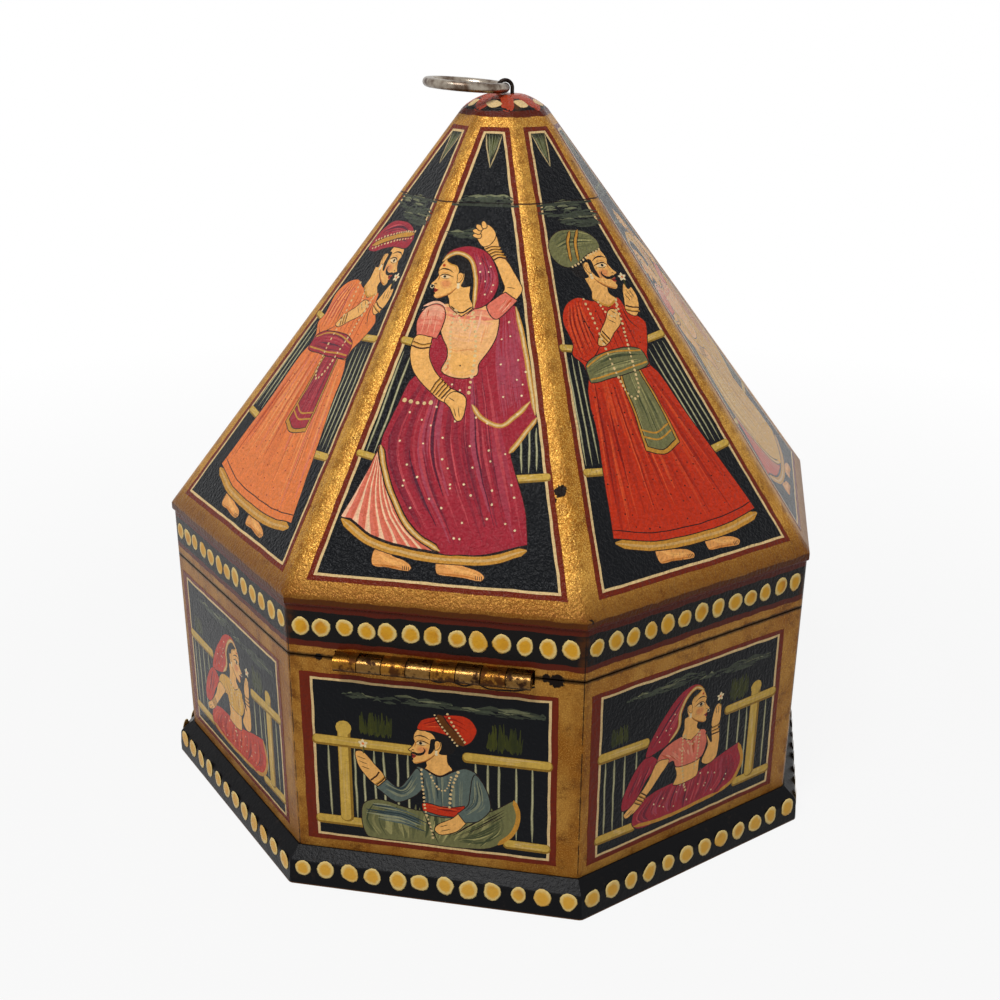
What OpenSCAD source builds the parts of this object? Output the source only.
// Eight-sided painted box with a hinged pyramid lid, built from mitred boards.
// The sides are counted from the hinge side, which faces -Y, round towards +X.
// The origin is under the middle of the plinth, with +Z up.

/* [Box] */
// Width of the box across two opposite wall faces
body_flats = 138.2; // [120:0.2:160]
// Thickness of the wall boards and of the lid's band boards
wall_t = 6; // [5:0.25:8]
// Height of the wall boards above the plinth
wall_h = 43.75; // [30:0.25:80]
// Rounding of the upright corners
corner_r = 1.6; // [0.8:0.1:3]
// Open seam between the walls and the closed lid
seam_gap = 0.3; // [0.1:0.05:0.5]

/* [Plinth] */
// Thickness of the plinth board
plinth_h = 7.4; // [6:0.2:10]
// How far the plinth stands out past the walls
plinth_reach = 3.3; // [2.4:0.1:6]
// Height of the plinth's upright edge
plinth_edge_h = 5; // [3.5:0.1:5.4]
// How far the plinth's upright edge leans in at its top
plinth_lean = 0.35; // [0:0.05:0.6]
// Flat ledge left on the plinth in front of the walls
plinth_ledge = 0.3; // [0.1:0.1:0.8]
// Rounding over the top of the plinth's edge
plinth_round = 1.4; // [0.6:0.1:1.8]

/* [Lid] */
// Height of the lid's band boards
band_h = 10.35; // [7:0.05:20]
// How far the eave stands out past the band
eave_reach = 0.4; // [0:0.1:1.5]
// Height of the roof boards' edge at the eave
eave_h = 2.1; // [1.6:0.1:4]
// Rounding of the eave's upper edge
eave_round = 1.8; // [0.5:0.1:2.4]
// Rounding of the eave's lower edge
eave_under_round = 0.5; // [0.2:0.1:0.7]
// Slope of the roof boards above level, in degrees
roof_pitch = 53.9; // [45:0.1:58]
// Thickness of the roof boards
roof_t = 6; // [4.5:0.25:7]
// Rounding of the ridges between the roof boards
ridge_r = 4.5; // [3.5:0.25:5.5]

/* [Crown] */
// Height of the joint under the crown block, above the eave
crown_joint_h = 66.6; // [55:0.2:72]
// Radius of the crown's rounded top
crown_r = 13.8; // [11:0.1:15]
// Height cut off the round top, where the eye is driven in
crown_flat = 0.5; // [0.3:0.05:0.7]
// Depth by which the round top is cut into the ridges
crown_bite = 0.15; // [0.05:0.05:0.3]

/* [Ring] */
// Outer diameter of the ring
ring_od = 18.3; // [14:0.1:24]
// Thickness of the ring's wire
ring_wire = 2; // [1.4:0.1:2.4]
// Clearance of the ring over the crown
ring_lift = 0.2; // [0.15:0.05:0.6]
// Way the ring lies, in degrees round from -X towards -Y
ring_turn = 11; // [0:1:40]
// How far the lying ring tips up from level, in degrees
ring_tip = 4; // [0:1:20]
// Thickness of the eye's wire
eye_wire = 0.8; // [0.6:0.1:1.2]
// Clearance between the ring's wire and the eye
eye_gap = 0.1; // [0.05:0.05:0.4]
// Length of the eye's legs in the crown
eye_leg = 12; // [6:0.5:16]

/* [Hinge] */
// Length of the hinge
hinge_len = 38; // [30:0.5:44]
// Number of knuckles along the hinge
knuckles = 8; // [4:1:12]
// Outer diameter of the knuckles
knuckle_d = 3.2; // [2.8:0.1:4]
// Thickness of the rolled leaves
leaf_t = 0.8; // [0.6:0.05:0.85]
// How far each leaf reaches in from the pin
leaf_w = 7.2; // [6.4:0.1:7.4]
// Diameter of the hinge pin
pin_d = 1.4; // [1:0.05:1.5]
// Clearance between the pin and the knuckles, all round
pin_gap = 0.05; // [0.02:0.01:0.08]
// Gap between one knuckle and the next
knuckle_gap = 0.2; // [0.1:0.05:0.4]
// Gap between the knuckles and the boards
barrel_gap = 0.1; // [0.1:0.05:0.3]
// Gap between a leaf and the ends of its notch
notch_gap = 0.3; // [0.1:0.05:0.6]
// Slit where the rolled end of a knuckle meets its leaf
roll_slit = 0.15; // [0.1:0.05:0.3]

/* [Nails] */
// Number of nails in each leaf
nails = 3; // [2:1:4]
// Distance from the first nail to the last
nail_span = 28; // [20:0.5:29]
// Diameter of the nails' shanks
nail_d = 1.1; // [0.8:0.1:1.4]
// Length of the nails under the head
nail_len = 8; // [5:0.5:10]
// Diameter of the nails' heads
nail_head_d = 2.4; // [2:0.1:2.8]
// Height of the nails' heads
nail_head_h = 0.45; // [0.3:0.05:0.5]
// Clearance of the nails in their holes, all round
nail_gap = 0.05; // [0.02:0.01:0.1]

/* [Hidden] */
$fn = 64;

sides = 8;
side_turn = 360 / sides;
half_turn = side_turn / 2;
arc_steps = 6;
// Odd, so that the cut between two boards runs down the middle of a step
ridge_steps = 13;
// Overshoot that lets a cut pass clean through a face
over = 1;

// Distances from the middle to the flats
body_a = body_flats / 2;
plinth_a = body_a + plinth_reach;
eave_a = body_a + eave_reach;

// Levels, from the ground up
wall_top = plinth_h + wall_h;
seam_z = wall_top + seam_gap / 2;
lid_z = wall_top + seam_gap;
band_top = lid_z + band_h;
eave_z = band_top + eave_h;
crown_z = eave_z + crown_joint_h;
apex_z = eave_z + eave_a * tan(roof_pitch);

// Ridges: their slope, and the angle between a ridge and a face beside it
ridge_pitch = atan(tan(roof_pitch) * cos(half_turn));
ridge_half = acos(sin(roof_pitch) * sin(ridge_pitch) * cos(half_turn)
                  + cos(roof_pitch) * cos(ridge_pitch));
ridge_lost = ridge_r / cos(ridge_half) - ridge_r;

// Crown: a ball that takes over from the rounded ridges at the level ball_edge_z
ball_z = apex_z - (crown_r - crown_bite + ridge_lost) / cos(ridge_pitch);
ball_edge_z = ball_z + crown_r * cos(ridge_pitch);
crown_top = ball_z + crown_r - crown_flat;
crown_joint_a = eave_a - crown_joint_h / tan(roof_pitch);
crown_stock_r = crown_joint_a / cos(half_turn) + over;

// Ring and eye, which share the point where the ring hangs
ring_rm = (ring_od - ring_wire) / 2;
ring_z = crown_top + ring_lift + ring_wire / 2;
eye_rm = ring_wire / 2 + eye_gap + eye_wire / 2;
eye_hole_gap = 0.03;

// Hinge: its pin lies in the seam, just outside the walls
knuckle_r = knuckle_d / 2;
pin_a = body_a + barrel_gap + knuckle_r;
bore_r = pin_d / 2 + pin_gap;
pitch_x = hinge_len / knuckles;
leaf_back = knuckle_r + 2 * barrel_gap;
nail_in = (barrel_gap + knuckle_r + leaf_w) / 2;
nail_step = nail_span / (nails - 1);

// Rounding of an outline
function unit(v) = v / norm(v);
function swing(from, to) = (to - from + 540) % 360 - 180;
// Points of the arc of radius r that rounds corner b between a and c
function round_at(a, b, c, r, steps = arc_steps) =
    let (u = unit(a - b), v = unit(c - b), h = acos(u * v) / 2,
         m = b + unit(u + v) * r / sin(h),
         s = b + u * r / tan(h) - m, e = b + v * r / tan(h) - m,
         s_ang = atan2(s.y, s.x), sweep = swing(s_ang, atan2(e.y, e.x)))
    [for (i = [0:steps]) let (w = s_ang + sweep * i / steps) m + r * [cos(w), sin(w)]];

// Turns a piece from the hinge side to side k
module at_side(k) rotate([0, 0, k * side_turn]) children();

// Runs an outline of (distance out, height) along the hinge side
module along_side(length) rotate([90, 0, -90]) linear_extrude(length, center = true) children();

// Plan of one side's share of the box, out to the distance r_out from the middle
module share_plan(r_out)
    polygon([[0, 0], [-r_out * tan(half_turn), -r_out], [r_out * tan(half_turn), -r_out]]);

// Plan of one side's share out to its face at the distance a, with rounded corners
module face_plan(a) {
    w = (a - corner_r) * tan(half_turn);
    intersection() {
        union() {
            polygon([[-w, -a], [w, -a], [w, corner_r - a], [0, 0], [-w, corner_r - a]]);
            for (x = [-w, w]) translate([x, corner_r - a]) circle(corner_r);
        }
        share_plan(a + over);
    }
}

// Plan of a mitred board of thickness t with its outer face at the distance a
module board_plan(a, t)
    difference() {
        face_plan(a);
        translate([-a, t - a]) square([2 * a, a + over]);
    }

// Base board with a moulded edge, cut from a prism with rounded corners
module plinth() {
    foot = [plinth_a, 0];
    brow = [plinth_a - plinth_lean, plinth_edge_h];
    ledge = [body_a + plinth_ledge, plinth_h];
    cutter = concat([foot + (foot - brow) / 4], round_at(foot, brow, ledge, plinth_round),
                    [ledge + (ledge - brow) / 2,
                     [plinth_a + over, plinth_h + 2 * over], [plinth_a + over, -2 * over]]);
    color([0.07, 0.07, 0.08])
        difference() {
            linear_extrude(plinth_h)
                polygon([for (k = [0:sides - 1]) each
                         round_at(plinth_corner(k - 1), plinth_corner(k), plinth_corner(k + 1), corner_r)]);
            for (k = [0:sides - 1]) at_side(k) along_side(4 * plinth_a) polygon(cutter);
        }
}

// Corner of the plinth that follows side k
function plinth_corner(k) =
    plinth_a / cos(half_turn) * [sin((k + 0.5) * side_turn), -cos((k + 0.5) * side_turn)];

// Notch and nail holes that take one leaf; up is 1 for the lid and -1 for the walls
module leaf_notch(up) {
    y_out = body_a + over;
    translate([0, 0, seam_z])
        mirror([0, 0, up > 0 ? 0 : 1]) {
            translate([-hinge_len / 2 - notch_gap, -y_out, -over])
                cube([hinge_len + 2 * notch_gap, wall_t + 2 * over, knuckle_r + over]);
            at_nails() cylinder(r = nail_d / 2 + nail_gap, h = knuckle_r - leaf_t + nail_len + nail_gap);
        }
}

// Puts a piece at each nail of a leaf
module at_nails()
    for (i = [0:nails - 1]) translate([-nail_span / 2 + i * nail_step, nail_in - pin_a, 0]) children();

// Upright wall board of side k
module wall_board(k) color([0.62, 0.42, 0.12])
    at_side(k) difference() {
        translate([0, 0, plinth_h]) linear_extrude(wall_h) board_plan(body_a, wall_t);
        if (k == 0) leaf_notch(-1);
    }

// Upright board of the lid's band, side k
module band_board(k) color([0.55, 0.36, 0.1])
    at_side(k) difference() {
        translate([0, 0, lid_z]) linear_extrude(band_h) board_plan(body_a, wall_t);
        if (k == 0) leaf_notch(1);
    }

// What lies outside a rounded ridge, seen along it, with the sharp ridge at zero
function ridge_waste() =
    let (arc = round_at([-1, -tan(ridge_half)], [0, 0], [1, -tan(ridge_half)], ridge_r, ridge_steps),
         last = len(arc) - 1, from = 2 * arc[0] - arc[1], to = 2 * arc[last] - arc[last - 1])
    concat([[from.x, over], from], [for (i = [1:last - 1]) arc[i]], [to, [to.x, over]]);

// Rounds the ridge between the hinge side and side 2, from the peak down
module ridge_cutter()
    rotate([0, 0, half_turn]) translate([0, 0, apex_z]) rotate([90 + ridge_pitch, 0, 0])
        linear_extrude((apex_z - band_top + over) / sin(ridge_pitch)) polygon(ridge_waste());

// Sloping roof board of side k
module roof_board(k) {
    t_flat = roof_t / sin(roof_pitch);
    foot_out = [eave_a, band_top];
    brow = [eave_a, eave_z];
    tip = [crown_joint_a, crown_z];
    foot_in = [eave_a + eave_h / tan(roof_pitch) - t_flat, band_top];
    outline = concat([foot_in], round_at(foot_in, foot_out, brow, eave_under_round),
                     round_at(foot_out, brow, tip, min(eave_round, 2 * eave_h)),
                     [tip, [crown_joint_a - t_flat, crown_z]]);
    color([0.6, 0.4, 0.12]) at_side(k)
        difference() {
            intersection() {
                along_side(2 * eave_a) polygon(outline);
                translate([0, 0, band_top - over]) linear_extrude(crown_joint_h + eave_h + 2 * over)
                    share_plan(eave_a + over);
            }
            ridge_cutter();
            at_side(-1) ridge_cutter();
        }
}

// Solid top of the roof, rounded over and flat where the eye goes in
module crown_block() color([0.45, 0.28, 0.1])
    difference() {
        intersection() {
            translate([0, 0, crown_z]) cylinder(r = crown_stock_r, h = crown_top - crown_z);
            union() {
                translate([0, 0, ball_z]) sphere(crown_r);
                translate([0, 0, crown_z - over]) cylinder(r = crown_stock_r + over, h = ball_edge_z - crown_z + over);
            }
        }
        for (k = [0:sides - 1]) at_side(k) {
            along_side(2 * eave_a) polygon([[eave_a, eave_z], [0, apex_z], [eave_a, apex_z]]);
            ridge_cutter();
        }
        at_ring() eye_legs(eye_wire / 2 + eye_hole_gap, eye_hole_gap);
    }

// Moves a piece to the point where the ring hangs, with the ring's way as -X
module at_ring() translate([0, 0, ring_z]) rotate([0, 0, ring_turn]) children();

// The two legs of the eye, of radius r, drawn out by an extra length
module eye_legs(r, extra = 0) {
    down = ring_z - crown_top + eye_leg + extra;
    for (x = [-eye_rm, eye_rm]) translate([x, 0, -down]) cylinder(r = r, h = down);
}

// Bent wire eye that holds the ring
module ring_eye() color([0.16, 0.15, 0.15])
    at_ring() {
        rotate([90, 0, 0]) rotate_extrude(angle = 180) translate([eye_rm, 0]) circle(eye_wire / 2);
        eye_legs(eye_wire / 2);
    }

// Wire ring, lying to one side of the crown
module ring() color([0.5, 0.47, 0.44])
    at_ring() rotate([0, ring_tip, 0]) translate([-ring_rm, 0, 0])
        rotate_extrude() translate([ring_rm, 0]) circle(ring_wire / 2);

// Leaf with its knuckles rolled from it; first is the place of its first knuckle
module hinge_leaf(first) {
    low = -knuckle_r;
    knuckle_len = pitch_x - knuckle_gap;
    difference() {
        union() {
            translate([-hinge_len / 2 + knuckle_gap / 2, leaf_back, low])
                cube([hinge_len - knuckle_gap, leaf_w - leaf_back, leaf_t]);
            for (i = [first:2:knuckles - 1])
                translate([-hinge_len / 2 + (i + 0.5) * pitch_x, 0, 0])
                    along_side(knuckle_len) rolled_knuckle();
        }
        translate([0, pin_a, 0]) at_nails() translate([0, 0, low - over])
            cylinder(r = nail_d / 2 + nail_gap, h = leaf_t + 2 * over);
    }
}

// Outline of a knuckle: a strip that leaves the leaf and curls round the pin
module rolled_knuckle() {
    difference() {
        union() {
            circle(knuckle_r);
            translate([-leaf_back - over / 4, -knuckle_r]) square([leaf_back + over / 4, leaf_t]);
        }
        circle(bore_r);
        translate([-knuckle_r - over, leaf_t - knuckle_r]) square([knuckle_r + over, roll_slit]);
    }
}

// Leaf let into the top of wall board 1, with the even knuckles
module lower_hinge_leaf() color([0.72, 0.58, 0.3])
    translate([0, -pin_a, seam_z]) hinge_leaf(1);

// Leaf let into the underside of band board 1, with the odd knuckles
module upper_hinge_leaf() color([0.78, 0.62, 0.3])
    translate([0, -pin_a, seam_z]) mirror([0, 0, 1]) hinge_leaf(0);

// Pin through all the knuckles
module hinge_pin() color([0.6, 0.55, 0.45])
    translate([-hinge_len / 2, -pin_a, seam_z]) rotate([0, 90, 0]) cylinder(r = pin_d / 2, h = hinge_len);

// One nail, head up, with the underside of its head at zero
module nail() {
    translate([0, 0, -nail_len]) cylinder(r = nail_d / 2, h = nail_len);
    cylinder(r1 = nail_head_d / 2, r2 = nail_head_d / 3, h = nail_head_h);
}

// Nails that hold the lower leaf
module lower_leaf_nails() color([0.66, 0.52, 0.26])
    translate([0, 0, seam_z - knuckle_r + leaf_t]) at_nails() nail();

// Nails that hold the upper leaf
module upper_leaf_nails() color([0.66, 0.52, 0.26])
    translate([0, 0, seam_z + knuckle_r - leaf_t]) mirror([0, 0, 1]) at_nails() nail();

plinth();
for (k = [0:sides - 1]) {
    wall_board(k);
    band_board(k);
    roof_board(k);
}
crown_block();
ring_eye();
ring();
lower_hinge_leaf();
upper_hinge_leaf();
hinge_pin();
lower_leaf_nails();
upper_leaf_nails();
